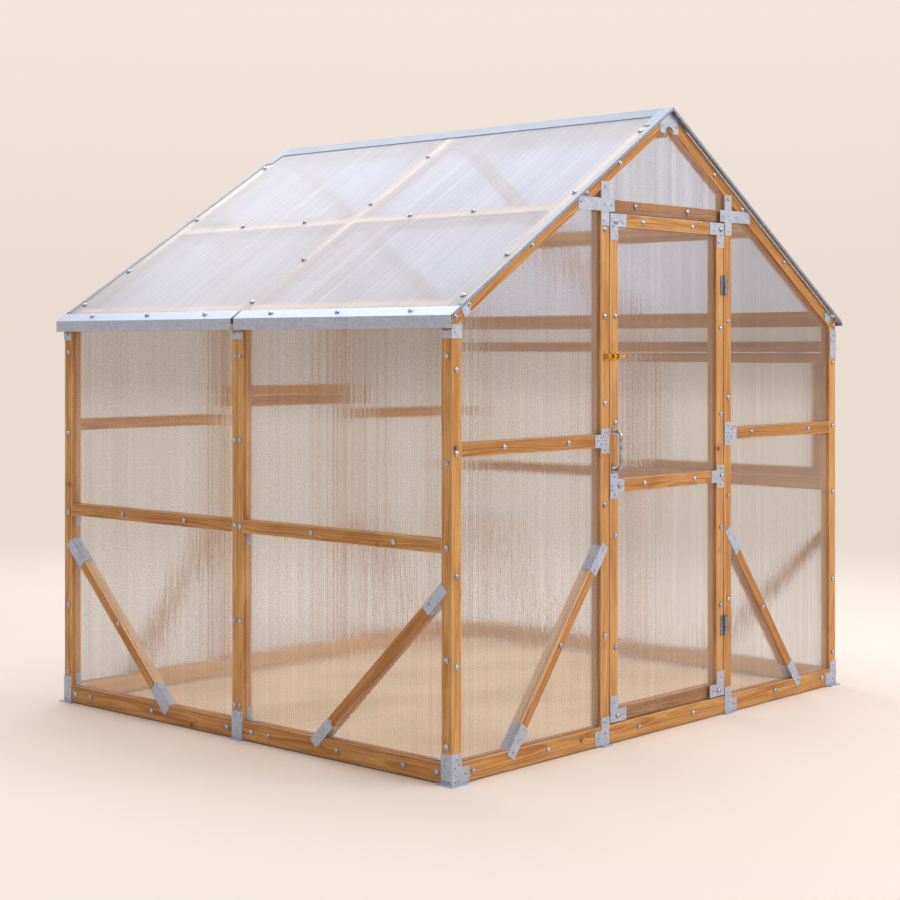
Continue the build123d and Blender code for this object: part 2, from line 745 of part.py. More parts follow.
nodes = {
    "front_left_post": [post],
    "front_right_post": to_right([post]),
    "back_left_post": to_back([post]),
    "back_right_post": to_right(to_back([post])),
    "left_mid_post": mid_studs(),
    "right_mid_post": to_right(mid_studs()),
    "left_door_post": [jamb_post()],
    "right_door_post": to_right([jamb_post()]),
    "back_posts": to_back(both_sides([jamb_post()])),
    "front_sill": [gable_sill()],
    "back_sill": to_back([gable_sill()]),
    "side_sills": both_sides([side_sill()]),
    "left_rails": side_rails(left_rail_top),
    "right_rails": to_right(side_rails(right_rail_top) + side_rails(upper_rail_top)),
    "front_rails": gable_rails(front_rail_top),
    "back_rails": to_back(gable_rails(back_rail_top)) + [window_sill_rail],
    "headers": [header(glass_in)] + to_back([header(0)]),
    "front_rafters": rafter_pair(-half_depth, -inner_depth),
    "mid_rafters": rafter_pair(-timber / 2, timber / 2),
    "back_rafters": rafter_pair(inner_depth, half_depth),
    "ridge_board": [ridge_board()],
    "purlins": purlins() + eave_purlins(),
    "front_braces": front_bars,
    "back_braces": to_back(front_bars),
    "left_braces": left_bars,
    "right_braces": to_right(left_bars),
    "brace_caps": front_and_back(both_sides(gable_caps + side_caps)),
    "post_feet": front_and_back(both_sides([corner_foot(), jamb_foot()])) + both_sides([mid_foot()]),
    "head_brackets": front_and_back(both_sides([corner_head(), rafter_strap()])) + both_sides([mid_head()]),
    "upper_brackets": to_right(front_and_back([upper_bracket()])),
    "rail_plates": both_sides([rail_plate(front_rail_top)] + to_back([rail_plate(back_rail_top)])),
    "head_straps": front_and_back(both_sides([head_strap()])),
    "ridge_gussets": front_and_back([ridge_gusset()]),
    "wall_angles": wall_angles(left_rail_top) + to_right(wall_angles(right_rail_top)),
    "left_panels": left_panels(),
    "right_panels": right_panels(),
    "front_panels": gable_bay_panels(front_rail_top) + [gable_top_panel(door_opening_top)],
    "back_panels": to_back(gable_bay_panels(back_rail_top) + [gable_top_panel(header_top)]) + [back_infill()],
    "left_roof_panels": roof_sheets(),
    "right_roof_panels": to_right(roof_sheets()),
    "ridge_cap": [ridge_cap()],
    "verge_trims": verge_trims(),
    "eave_trims": eave_trims(fascia_height) + to_right(eave_trims(right_nose_height)),
    "back_window_sash": back_sash,
    "side_window_sash": side_sash,
    "window_panes": [back_pane, side_pane],
    "window_hinges": window_hinges,
    "post_hinge_leaves": [low_hinge[1], high_hinge[1]],
    "bolt_keeper": bolt_keeper(),
    "door_stiles": door_stiles(),
    "door_rails": door_rails(),
    "door_panels": door_panels(),
    "door_plates": door_plates(),
    "door_hinge_leaves": [low_hinge[0], high_hinge[0]],
    "door_handle": [pull_handle()],
    "bolt_case": [bolt_case()],
    "bolt_rod": [bolt_rod()],
}

os.makedirs("parts", exist_ok=True)
for name, solids in nodes.items():
    export_step(Compound(children=solids), f"parts/{name}.step")
    print(name, len(solids))
print("nodes", len(nodes))
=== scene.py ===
# %% [markdown]
# # A timber greenhouse, dressed for its portrait
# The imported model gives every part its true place. This lesson adds what a photograph shows on top of that:
# softened timber with grain, fluted sheet, galvanised fittings, screws, a studio floor and soft light.

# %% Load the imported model
import json
import math
import bmesh
import bpy
from mathutils import Matrix, Vector


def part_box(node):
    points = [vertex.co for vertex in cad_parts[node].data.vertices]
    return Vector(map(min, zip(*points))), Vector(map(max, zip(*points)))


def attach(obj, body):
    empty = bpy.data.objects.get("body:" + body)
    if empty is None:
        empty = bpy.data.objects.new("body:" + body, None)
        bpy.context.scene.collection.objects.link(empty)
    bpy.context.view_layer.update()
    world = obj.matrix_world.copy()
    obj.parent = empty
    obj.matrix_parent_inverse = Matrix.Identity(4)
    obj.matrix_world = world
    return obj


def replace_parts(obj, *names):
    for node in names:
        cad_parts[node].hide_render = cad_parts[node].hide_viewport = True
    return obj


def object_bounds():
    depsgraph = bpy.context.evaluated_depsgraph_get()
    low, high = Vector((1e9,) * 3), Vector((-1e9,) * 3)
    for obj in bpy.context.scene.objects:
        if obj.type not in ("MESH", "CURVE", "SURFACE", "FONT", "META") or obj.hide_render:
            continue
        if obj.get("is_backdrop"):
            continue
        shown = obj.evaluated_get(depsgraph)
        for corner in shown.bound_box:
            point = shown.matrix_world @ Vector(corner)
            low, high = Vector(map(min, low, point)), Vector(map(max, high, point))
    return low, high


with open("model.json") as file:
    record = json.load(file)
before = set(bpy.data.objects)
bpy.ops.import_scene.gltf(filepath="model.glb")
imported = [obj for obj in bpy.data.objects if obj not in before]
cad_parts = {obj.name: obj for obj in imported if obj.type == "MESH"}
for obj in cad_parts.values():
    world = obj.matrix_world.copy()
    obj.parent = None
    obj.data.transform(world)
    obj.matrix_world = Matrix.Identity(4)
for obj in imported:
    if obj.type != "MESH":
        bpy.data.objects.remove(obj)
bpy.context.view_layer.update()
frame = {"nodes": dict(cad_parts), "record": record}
nodes = frame["nodes"]

# %% [markdown]
# ## Camera
# The portrait was taken from chest height with a level camera: upright edges stay parallel, and the frame is
# shifted down instead of tilting. A long lens, twice as long as the sensor is wide, keeps the perspective
# calm. A tilted camera would frame the same view, but then the posts would lean towards each other.


# %% Camera
def put(name, data):
    """A new object in the scene that shows the given data."""
    made = bpy.data.objects.new(name, data)
    bpy.context.scene.collection.objects.link(made)
    return made


yaw = math.radians(47.6555)
lens_in_pixels = 1801.797
horizon_row = 348.11
frame_pixels = 900
camera_data = bpy.data.cameras.new("portrait_camera")
camera_data.sensor_width = 36
camera_data.lens = camera_data.sensor_width * lens_in_pixels / frame_pixels
camera_data.shift_y = (horizon_row - frame_pixels / 2) / frame_pixels
camera = put("portrait_camera", camera_data)
camera.location = (-5.31877, -4.79688, 1.36927)
camera.rotation_euler = (math.pi / 2, 0, -yaw)
bpy.context.scene.camera = camera
bpy.context.scene.view_settings.view_transform = "Standard"
print("lens", round(camera_data.lens, 2), "shift", round(camera_data.shift_y, 4))

# %% [markdown]
# ## Shader sums as plain Python
# A node tree is easier to read as arithmetic. This class wraps one output of a tree: sums and products
# of values add Math nodes, and one method adds any other node, with its settings first and its sockets next.
# Colours go through a Mix node, because a Math node would turn them grey.


# %% A socket with arithmetic
class Wire:
    """An output in a node tree. A wire with no output is the start of a tree."""

    def __init__(self, tree, out=None):
        self.tree, self.out = tree, out

    def add(self, kind, settings=None, sockets=None, output=0):
        """Adds a node and returns one of its outputs as a wire."""
        node = self.tree.nodes.new(kind)
        for name, value in (settings or {}).items():
            setattr(node, name, value)
        for name, value in (sockets or {}).items():
            if isinstance(value, Wire):
                self.tree.links.new(value.out, node.inputs[name])
            else:
                node.inputs[name].default_value = value
        return Wire(self.tree, node.outputs[output])

    def math(self, operation, *values):
        """A Math node on the given values, or on this wire alone."""
        inputs = dict(enumerate(values or (self,)))
        return self.add("ShaderNodeMath", {"operation": operation}, inputs)

    def __add__(self, other):
        return self.math("ADD", self, other)

    def __sub__(self, other):
        return self.math("SUBTRACT", self, other)

    def __rsub__(self, other):
        return self.math("SUBTRACT", other, self)

    def __mul__(self, other):
        return self.math("MULTIPLY", self, other)

    def __truediv__(self, other):
        return self.math("DIVIDE", self, other)

    def __pow__(self, other):
        return self.math("POWER", self, other)

    __radd__, __rmul__ = __add__, __mul__

    def clip(self):
        """The value kept between 0 and 1."""
        return self.add("ShaderNodeClamp", sockets={"Value": self})

    def smooth(self, low, high):
        """0 below low, 1 above high and an S-curve between them."""
        return self.add("ShaderNodeMapRange", {"interpolation_type": "SMOOTHSTEP"},
                        {"Value": self, "From Min": low, "From Max": high})

    def tint(self, low, high, kind="MIX"):
        """Two colours mixed, or blended another way, with this value as the share of the second."""
        return self.add("ShaderNodeMix", {"data_type": "RGBA", "blend_type": kind},
                        {0: self, 6: low, 7: high}, 2)


def rgb(red, green, blue):
    """A colour written as a photograph's 0 to 255 values, turned to the linear values that shaders use."""
    return tuple(v / 12.92 if v <= 0.04045 else ((v + 0.055) / 1.055) ** 2.4
                 for v in (red / 255, green / 255, blue / 255)) + (1.0,)


print("honey in linear light", [round(v, 3) for v in rgb(205, 154, 96)])

# %% [markdown]
# ## A starting point for every finish
# Each finish starts from one Principled shader. What is the same all over is set on the shader's own sockets,
# and only what changes over the surface is linked.


# %% New finishes
def new_finish(name):
    """An empty material with a Principled shader: the material, its start wire and the shader node."""
    material = bpy.data.materials.new(name)
    material.use_nodes = True
    shader = material.node_tree.nodes["Principled BSDF"]
    return material, Wire(material.node_tree), shader


def link(wire, shader, socket):
    wire.tree.links.new(wire.out, shader.inputs[socket])


def split(wire):
    """The three numbers of a vector."""
    return [wire.add("ShaderNodeSeparateXYZ", sockets={0: wire}, output=i) for i in range(3)]


def join(start, x, y, z):
    return start.add("ShaderNodeCombineXYZ", sockets={0: x, 1: y, 2: z})


def noise(start, place, scale, detail=2.0, roughness=0.5):
    return start.add("ShaderNodeTexNoise", sockets={"Vector": place, "Scale": scale, "Detail": detail,
                                                   "Roughness": roughness})


def bump(height, strength, distance):
    return height.add("ShaderNodeBump", sockets={"Strength": strength, "Distance": distance,
                                                 "Height": height})


print("finishes start from a Principled shader")

# %% [markdown]
# ## Honey-coloured softwood
# The battens are planed softwood under an oil stain: warm honey, darker late wood between pale early wood,
# long streaks along the grain and a knot about once a metre. Rings are drawn as they grow, as shells round
# a pith near or outside the batten, so every face and end of a batten shows the right cut through them.
# The finish reads what each batten carries: where a point lies along and across it, its tone, and its arrises
# together with the faces that get painted light.

# %% Grain of the timber
knot_scale, rings_per_metre, full_turn = 7.0, 200.0, 6.2832
timber_finish, start, shader = new_finish("oiled_softwood")
across, depth, along = split(start.add("ShaderNodeAttribute", {"attribute_name": "grain"}, output="Vector"))
tone = start.add("ShaderNodeAttribute", {"attribute_name": "batten"}, output="Fac")
arris_wear_and_painted_light = start.add("ShaderNodeAttribute", {"attribute_name": "arris_wear_and_painted_light"}, output="Fac")
cut = tone * 37.0  # where along the tree a batten of this tone was cut
place = join(start, across, depth, along + cut)
stretched = join(start, across, depth, along * 0.06 + cut)
knot_distance = start.add("ShaderNodeTexVoronoi", sockets={"Vector": place, "Scale": knot_scale},
                          output="Distance")
knot = 1 - knot_distance.smooth(0.03, 0.075)
halo = 1 - knot_distance.smooth(0.04, 0.2)
sway = noise(start, join(start, across, depth, along * 0.35 + tone * 19.0), 5.0, 1.0) - 0.5
turn = tone * full_turn
pith_across, pith_depth = turn.math("SINE") * 0.045, turn.math("COSINE") * 0.03 + 0.05
radius = ((across - pith_across) ** 2.0 + (depth - pith_depth) ** 2.0) ** 0.5
ring = ((radius + sway * 0.03 + halo * 0.006) * rings_per_metre).math("FRACT")
late_wood = ring.smooth(0.3, 0.95)
fibre = noise(start, stretched, 420.0, 3.0, 0.6)
streak = noise(start, stretched, 60.0, 2.0)
cloud = noise(start, join(start, across, depth, along * 0.3 + tone * 23.0), 16.0, 2.0)
print("grain nodes", len(timber_finish.node_tree.nodes))

# %% [markdown]
# The stain's colour follows the grain: honey between the rings, a redder brown in the late wood, and nearly
# black brown in the knots. Battens of a higher tone took more stain, and handling has rubbed the arrises
# lighter. The same pale colour is painted light on the faces that light falls on under the roof sheet.

# %% Colour of the timber
early, late, deep_stain = rgb(241, 191, 121), rgb(174, 108, 47), (0.62, 0.48, 0.34, 1.0)
grown = late_wood * 0.4 + streak.smooth(0.35, 0.68) * 0.36 + cloud * 0.6 - 0.11
colour = grown.clip().tint(early, late)
colour = (fibre.smooth(0.4, 0.75) * 0.32).tint(colour, rgb(140, 84, 36))
colour = tone.tint(colour, deep_stain, "MULTIPLY")
colour = (halo * 0.35).tint(colour, rgb(134, 74, 32))
colour = (knot * 0.85).tint(colour, rgb(66, 36, 18))
# Rubbed arrises are paler, and the same pale colour is painted light on the faces that light falls on.
colour = (arris_wear_and_painted_light * 0.35).clip().tint(colour, rgb(254, 225, 192))
link(colour, shader, "Base Color")
link(fibre * 0.2 + late_wood * -0.08 + 0.42, shader, "Roughness")
link(bump(fibre * 0.6 + late_wood * 0.4, 0.25, 0.0006), shader, "Normal")
shader.inputs["Specular IOR Level"].default_value = 0.3
print("timber nodes", len(timber_finish.node_tree.nodes))

# %% [markdown]
# ## Battens
# A planed batten has its sharp arrises taken off, and that thin bright line along each edge is what makes
# timber look like timber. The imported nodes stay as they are, so each timber node is copied, welded and
# bevelled by about a millimetre and a half, and the copy stands for it. The longest edge of each batten is
# its grain direction.


# %% Battens and their directions
def separate(bm):
    """The faces of each batten in a mesh."""
    left, groups = set(bm.faces), []
    while left:
        group, todo = set(), [left.pop()]
        while todo:
            face = todo.pop()
            group.add(face)
            near = {f for edge in face.edges for f in edge.link_faces} & left
            left -= near
            todo += near
        groups.append(group)
    return groups


def own_axes(group):
    """Middle of a batten, and its axes: across, depth and along."""
    edges = {edge for face in group for edge in face.edges}
    longest = max(edges, key=lambda e: (round(e.calc_length(), 4), tuple(e.verts[0].co)))
    along = (longest.verts[1].co - longest.verts[0].co).normalized()
    sides = [f for f in group if abs(f.normal.dot(along)) < 0.5]
    broad = max(sides, key=lambda f: (round(f.calc_area(), 6), [round(v, 2) for v in f.normal]))
    corners = [v.co for v in {v for face in group for v in face.verts}]
    middle = sum(corners, Vector()) / len(corners)
    return middle, along.cross(broad.normal).normalized(), broad.normal.normalized(), along


print("a node may hold several battens, and each gets its own axes")

# %% [markdown]
# Painted light: the upper faces right under the roof sheet, the upper sides of the braces, and the inner faces
# of the headers and of the back and side sills are painted paler, where light falls on them. Each batten has
# its own tone, from 0, the palest, up to 1.
# Uprights are paler than the rest, and a few nodes have a tone of their own.

# %% Faces with painted light, and tones
# Painted light: nodes whose upper faces, inner faces or upper sides are painted paler.
painted_light_top = ("purlins", "front_rafters", "mid_rafters", "back_rafters")
painted_light_inside = ("back_sill", "side_sills", "headers")
painted_light_side = ("front_braces", "back_braces", "left_braces", "right_braces")
top_painted_light, side_painted_light = 2.5, 1.6
tones = {"front_rails": 0.72, "front_braces": 0.68, "left_door_post": 0.32, "right_door_post": 0.32,
         "back_left_post": 0.1, "left_mid_post": 0.0, "front_left_post": 0.1}
upright_tone, other_tone, tone_spread = 0.2, 0.5, 0.2


def painted_light_on(node, face):
    """How much painted light a face gets, as a paler colour."""
    inward = face.normal.dot(face.calc_center_median() * Vector((1, 1, 0))) < -0.5
    if node in painted_light_top and face.normal.z > 0.7:
        return top_painted_light
    if node in painted_light_inside and inward or node in painted_light_side and face.normal.z > 0.3:
        return side_painted_light
    return 0.0


def tone_of(node, middle, along):
    """A batten's own tone. Its place stands in for chance, so that every run gives the same one."""
    usual = upright_tone if abs(along.z) > 0.9 else other_tone
    x, y, z = (math.floor(v * 1000 + 0.137) for v in middle)
    chance = (x * 37 + y * 71 + z * 113) % 101 / 101
    return max(0.0, tones.get(node, usual) + tone_spread * (chance - 0.5))


print("nodes with a tone of their own", len(tones))

# %% [markdown]
# The copy carries three attributes for the finish: the grain directions and the tone on its points, and on its
# faces the arrises, where a face with painted light counts as a broad arris.

# %% Dressing the battens
arris_width, sharp_edge = 0.0016, 0.3


def dress_battens(node, body):
    """A copy of a timber node with softened arrises, which carries its own grain directions."""
    bm = bmesh.new()
    bm.from_mesh(nodes[node].data)
    bmesh.ops.remove_doubles(bm, verts=bm.verts, dist=1e-5)
    bmesh.ops.dissolve_limit(bm, angle_limit=math.radians(1), verts=bm.verts, edges=bm.edges)
    grain, batten = bm.verts.layers.float_vector.new("grain"), bm.verts.layers.float.new("batten")
    arris_wear_and_painted_light = bm.faces.layers.float.new("arris_wear_and_painted_light")
    frames = [own_axes(group) for group in separate(bm)]
    edges = [e for e in bm.edges if len(e.link_faces) == 2 and e.calc_face_angle() > sharp_edge]
    made = bmesh.ops.bevel(bm, geom=edges, offset=arris_width, offset_type="OFFSET", segments=2,
                           profile=0.5, affect="EDGES", clamp_overlap=True)
    for face in made["faces"]:
        face[arris_wear_and_painted_light] = 1.0
        face.smooth = True
    # Painted light is added to the arris wear on the faces that light falls on.
    for face in bm.faces:
        face[arris_wear_and_painted_light] += painted_light_on(node, face)
    for group in separate(bm):
        corners = {v for face in group for v in face.verts}
        heart = sum((v.co for v in corners), Vector()) / len(corners)
        middle, *axes = min(frames, key=lambda f: (f[0] - heart).length)
        tone = tone_of(node, middle, axes[2])
        for v in corners:
            v[grain] = [(v.co - middle).dot(axis) for axis in axes]
            v[batten] = tone
    mesh = bpy.data.meshes.new("battens_" + node)
    bm.to_mesh(mesh)
    bm.free()
    mesh.materials.append(timber_finish)
    piece = put("battens_" + node, mesh)
    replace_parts(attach(piece, body), node)
    return len(mesh.polygons)


print("arris width", arris_width)

# %% [markdown]
# The record says which nodes are timber and which body each of them moves with.

# %% Battens on the house and on the door
slot_of = {part["node"]: part["material_slot"] for part in frame["record"]["subparts"]}
bodies = frame["record"]["behaviour"]["bodies"]
body_of = {node: body for body, members in bodies.items() for node in members}
timber_nodes = [node for node in sorted(slot_of) if slot_of[node] == "timber"]
faces = {node: dress_battens(node, body_of[node]) for node in timber_nodes}
print("timber nodes dressed", len(faces), "faces", sum(faces.values()))

# %% [markdown]
# ## Galvanised steel
# Hot-dip galvanising leaves a pale grey skin with spangle: flat crystals of under a centimetre, each a little
# lighter or darker. A Voronoi texture gives the crystals, a softer noise the dull bloom over them.


# %% Galvanised steel
def object_place(start):
    return start.add("ShaderNodeTexCoord", output="Object")


def zinc(name, deep, pale):
    """Galvanised steel between a deep and a pale grey."""
    material, start, shader = new_finish(name)
    place = object_place(start)
    spangle = start.add("ShaderNodeTexVoronoi", sockets={"Vector": place, "Scale": 130.0}, output="Color")
    crystal = split(spangle)[0]
    bloom = noise(start, place, 26.0, 3.0)
    link((crystal * 0.4 + bloom * 0.35).clip().tint(deep, pale), shader, "Base Color")
    link(crystal * 0.12 + bloom * 0.2 + 0.3, shader, "Roughness")
    shader.inputs["Metallic"].default_value = 0.5
    link(bump(crystal * 0.5 + bloom, 0.05, 0.001), shader, "Normal")
    return material


galvanised = zinc("galvanised_steel", rgb(158, 167, 185), rgb(210, 217, 234))
# Painted shade: the ridge cap and the verge trims get darker copies of the same galvanised steel.
ridge_zinc_painted_shade = zinc("galvanised_ridge_painted_shade", rgb(112, 120, 134), rgb(150, 158, 172))
verge_zinc_painted_shade = zinc("galvanised_verge_painted_shade", rgb(122, 128, 140), rgb(168, 174, 186))
print("zinc finishes", [m.name for m in (galvanised, ridge_zinc_painted_shade, verge_zinc_painted_shade)])

# %% [markdown]
# The small fittings are other metals: darker plain steel for the butt hinges, polished brass for the bolt and
# a bright plated bar for the handle. Each has fine scratches that change its gloss. The dark rubber under the
# washers, which also stands for painted shade round the screws and in empty holes, is made by the same steps,
# without the metal.


# %% Metals of the small fittings
def polished(name, pale, deep, metallic, gloss, scratch):
    """A smooth finish whose tone changes with smears and whose gloss changes with fine scratches along Z."""
    material, start, shader = new_finish(name)
    x, y, z = split(object_place(start))
    smear = noise(start, join(start, x, y, z), 60.0, 2.0)
    lines = noise(start, join(start, x, y, z * 0.08), 1400.0, 2.0)
    link(smear.smooth(0.3, 0.75).tint(pale, deep), shader, "Base Color")
    link(lines * scratch + smear * 0.1 + gloss, shader, "Roughness")
    link(bump(lines, 0.05, 0.0002), shader, "Normal")
    shader.inputs["Metallic"].default_value = metallic
    return material


hinge_steel = polished("hinge_steel", rgb(150, 150, 154), rgb(104, 104, 108), 0.85, 0.3, 0.2)
brass = polished("polished_brass", rgb(240, 188, 80), rgb(188, 130, 38), 0.95, 0.16, 0.14)
bright_steel = polished("bright_plated_bar", rgb(192, 197, 206), rgb(142, 147, 157), 1.0, 0.1, 0.1)
screw_steel = polished("zinc_screw", rgb(196, 201, 210), rgb(146, 152, 163), 1.0, 0.07, 0.1)
# Dark rubber under the washers. The same dark finish is painted shade round each screw's foot and in empty
# holes.
dark_rubber_and_painted_shade = polished("rubber_seal_and_painted_shade", rgb(52, 50, 48), rgb(34, 32, 31), 0.0, 0.55, 0.2)
print("fittings", [m.name for m in (hinge_steel, brass, bright_steel, screw_steel, dark_rubber_and_painted_shade)])

# %% [markdown]
# ## Twin-wall sheet
# Two clear skins a few millimetres apart are joined by upright webs. The flutes between the webs bend light
# sideways, so posts behind the sheet blur away while rails behind it stay as crisp bands. Fine facets whose
# normals lean sideways by chance do the same to a clear shader. A bump map would be too coarse for them: it
# compares heights a pixel apart.

# %% Facets of the sheet
flute_pitch, facets_per_flute = 0.0105, 24.0


def by_chance(start, steps):
    """A value between 0 and 1, by chance, that changes at every whole step."""
    return start.add("ShaderNodeTexWhiteNoise", {"noise_dimensions": "1D"}, {"W": steps.math("FLOOR")})


def vector_math(start, operation, sockets):
    return start.add("ShaderNodeVectorMath", {"operation": operation}, sockets)


def leaning(start, run, lean, roof):
    """The surface's normal, leaned along the sheet by a share that changes from one fine facet to the next."""
    normal = start.add("ShaderNodeNewGeometry", output="Normal")
    facet = by_chance(start, run * facets_per_flute)
    if roof:
        side = join(start, 0.0, 1.0, 0.0)
    else:
        side = vector_math(start, "CROSS_PRODUCT", {0: normal, 1: (0.0, 0.0, 1.0)})
    step = vector_math(start, "SCALE", {0: side, "Scale": (facet - 0.5) * (2 * lean)})
    return vector_math(start, "NORMALIZE", {0: vector_math(start, "ADD", {0: normal, 1: step})})


print("flutes per metre", round(1 / flute_pitch))

# %% [markdown]
# The webs draw fine regular lines down the sheet, each flute has a tone of its own, and here and there a painted
# glint, a paler line, runs along one and fades. The walls add broader stripes in the gable tops, a band of
# painted shade under the eaves, and a soft patch of painted shade high in the gables, deepest at the right.


# %% Tones of the sheet
def fluted(start, run, down, roof):
    """The lines of the webs, and the whole tone of the flutes with their painted glints: 0 is the skin's colour
    and 1 its shade.
    """
    web = (run.math("FRACT") - 0.5).math("ABSOLUTE") * 2
    # Painted highlight: here and there a paler glint runs along a flute.
    flute, painted_glint = by_chance(start, run), by_chance(start, run + 0.5).smooth(0.7, 1.0)
    fade = noise(start, join(start, run * 0.37, 0.0, down * 1.4), 1.0, 2.0).smooth(0.3, 0.7)
    regular, chance, base = (0.3, 0.5, -0.1) if roof else (0.36, 0.16, 0.03)
    return web, web * regular + flute * chance + base - painted_glint * fade * 0.3


def wall_patches(start, x, z, run, web):
    """What the walls add to the tone of the flutes: painted shade under the eaves and high in the gables,
    and painted light that makes the side walls a little paler in all.
    """
    side_wall = x.math("ABSOLUTE").smooth(1.12, 1.14)
    stripes = (by_chance(start, run * 0.4) * 0.5 + web * 0.4 - 0.55) * z.smooth(1.84, 1.9)
    # Painted shade: a darker band under the eaves, deeper on the side walls.
    eave_shade = z.smooth(1.08, 1.26) * (1 - z.smooth(1.40, 1.62)) * (side_wall * 0.3 + 0.04)
    # Painted shade: a soft darker patch high in the gables, deepest at the right.
    gable_shade = z.smooth(1.1, 1.4) * (1 - z.smooth(1.75, 1.85)) * (1 - side_wall)
    # Painted light: the side walls are a little paler in all.
    return stripes - side_wall * 0.1 + eave_shade + gable_shade * (x.smooth(-0.4, 0.8) * 0.3 + 0.1)


print("tones of flutes and walls ready")

# %% [markdown]
# Daylight passes a hollow sheet almost freely, so for shadow rays and for light from matt surfaces the finish
# is nearly clear. A translucent share makes the roof glow from below.


# %% Finishes of the sheets
def rays(start, *kinds):
    """1 for rays of the named kinds, and 0 for all others."""
    return sum(start.add("ShaderNodeLightPath", output=kind) for kind in kinds).clip()


def show(wire):
    """Makes a mix of shaders the surface of its material."""
    wire.tree.links.new(wire.out, wire.tree.nodes["Material Output"].inputs["Surface"])


def twin_wall(name, milk, lean, skin, shade, daylight, glow):
    """Hollow sheet: milk is the share of white in it, glow the share of light that it spreads inwards."""
    material, start, shader = new_finish(name)
    x, y, z = split(object_place(start))
    roof = "roof" in name
    run = (y if roof else x + y) / flute_pitch
    web, tone = fluted(start, run, x if roof else z, roof)
    if not roof:
        tone = tone + wall_patches(start, x, z, run, web)
    link(tone.clip().tint(skin, shade), shader, "Base Color")
    link(leaning(start, run, lean, roof), shader, "Normal")
    shader.inputs["Roughness"].default_value = 0.05
    shader.inputs["Transmission Weight"].default_value = 1 - milk
    shader.inputs["IOR"].default_value = 1.2
    shader.inputs["Coat Weight"].default_value = 0.12 if roof else 0.0
    shader.inputs["Coat Roughness"].default_value = 0.2
    sheet = Wire(material.node_tree, shader.outputs[0])
    spread = start.add("ShaderNodeBsdfTranslucent", sockets={"Color": skin})
    body = start.add("ShaderNodeMixShader", sockets={0: glow, 1: sheet, 2: spread})
    clear = start.add("ShaderNodeBsdfTransparent", sockets={"Color": daylight})
    passed = rays(start, "Is Shadow Ray", "Is Diffuse Ray") * 0.86
    show(start.add("ShaderNodeMixShader", sockets={0: passed, 1: body, 2: clear}))
    return material


wall_sheet = twin_wall("wall_sheet", 0.08, 0.14, rgb(247, 247, 247), rgb(188, 182, 177),
                       daylight=(0.97, 0.94, 0.89, 1.0), glow=0.0)
roof_sheet = twin_wall("roof_sheet", 0.2, 0.12, rgb(225, 232, 249), rgb(150, 157, 181),
                       daylight=(0.97, 0.93, 0.87, 1.0), glow=0.2)
print("sheet finishes", wall_sheet.name, roof_sheet.name)

# %% [markdown]
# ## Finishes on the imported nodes
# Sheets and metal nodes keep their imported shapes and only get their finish. Flat plates need no more.

# %% Assign finishes
finish_of = {"galvanised_steel": galvanised, "hinge_steel": hinge_steel, "brass": brass,
             "bright_steel": bright_steel, "twin_wall_sheet": wall_sheet, "left_roof_panels": roof_sheet,
             "right_roof_panels": roof_sheet, "ridge_cap": ridge_zinc_painted_shade, "verge_trims": verge_zinc_painted_shade}
for name, node in nodes.items():
    if slot_of[name] != "timber":
        node.data.materials.clear()
        node.data.materials.append(finish_of.get(name, finish_of[slot_of[name]]))
print("nodes with a finish", sum(1 for n in nodes if slot_of[n] != "timber"))

# %% [markdown]
# ## Joint strips
# The two sheets of each roof slope meet over the middle rafter with a little room to swell. A soft pale strip
# fills that joint and keeps the rain out. It is a flat bar with a rounded back, laid along the slope.

# %% Strips between the roof sheets
post_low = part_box("front_left_post")[0]
half_width, half_depth = -post_low.x, -post_low.y
roof_pitch, sheet_top_at_wall, sheet_thickness = math.radians(32.7), 1.4871, 0.006
strip_finish = polished("joint_strip", rgb(248, 236, 222), rgb(236, 218, 200), 0.0, 0.5, 0.2)
strip_half, strip_ends = 0.0019, (0.05, 1.165)
back = [(-1.0, 0.0), (-1.0, 0.7), (-0.6, 0.95), (0.0, 1.05), (0.6, 0.95), (1.0, 0.7), (1.0, 0.0)]


def sheet_top(x):
    """Height of the roof sheet's upper face over a place on the ground."""
    return sheet_top_at_wall + (half_width - abs(x)) * math.tan(roof_pitch)


points, faces, n = [], [], len(back)
for side in (-1, 1):
    first = len(points)
    for x in strip_ends:
        points += [(side * x, y * strip_half, sheet_top(x) + (h - 1.0) * sheet_thickness / math.cos(roof_pitch))
                   for y, h in back]
    faces += [tuple(first + i for i in range(n)), tuple(first + n + i for i in reversed(range(n)))]
    faces += [(first + i, first + n + i, first + n + (i + 1) % n, first + (i + 1) % n) for i in range(n)]
mesh = bpy.data.meshes.new("joint_strips")
mesh.from_pydata(points, [], faces)
bm = bmesh.new()
bm.from_mesh(mesh)
bmesh.ops.recalc_face_normals(bm, faces=bm.faces)
bm.to_mesh(mesh)
bm.free()
mesh.materials.append(strip_finish)
strips = put("joint_strips", mesh)
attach(strips, "frame")
print("joint strips", len(faces), "faces")

# %% [markdown]
# ## Screws
# Domed screws with a washer hold the sheets, and their bright caps are the liveliest detail of the house.
# One outline, turned round its axis, gives washer, cap and socket. The copies go into a few joined meshes,
# because hundreds of separate objects would be slow.

# %% One screw
washer_screw = [(0.0, 0.0), (0.0100, 0.0), (0.0104, 0.0008), (0.0100, 0.0016), (0.0091, 0.0017),
                (0.0092, 0.0025), (0.0078, 0.0030), (0.0075, 0.0042), (0.0066, 0.0058), (0.0050, 0.0071),
                (0.0031, 0.0078), (0.0026, 0.0077), (0.0024, 0.0058), (0.0, 0.0058)]
plate_screw = [(0.0, 0.0), (0.0048, 0.0), (0.0049, 0.0009), (0.0044, 0.0020), (0.0032, 0.0029),
               (0.0018, 0.0032), (0.0016, 0.0031), (0.0013, 0.0018), (0.0, 0.0018)]
turns = 18
seal_height = 0.00165


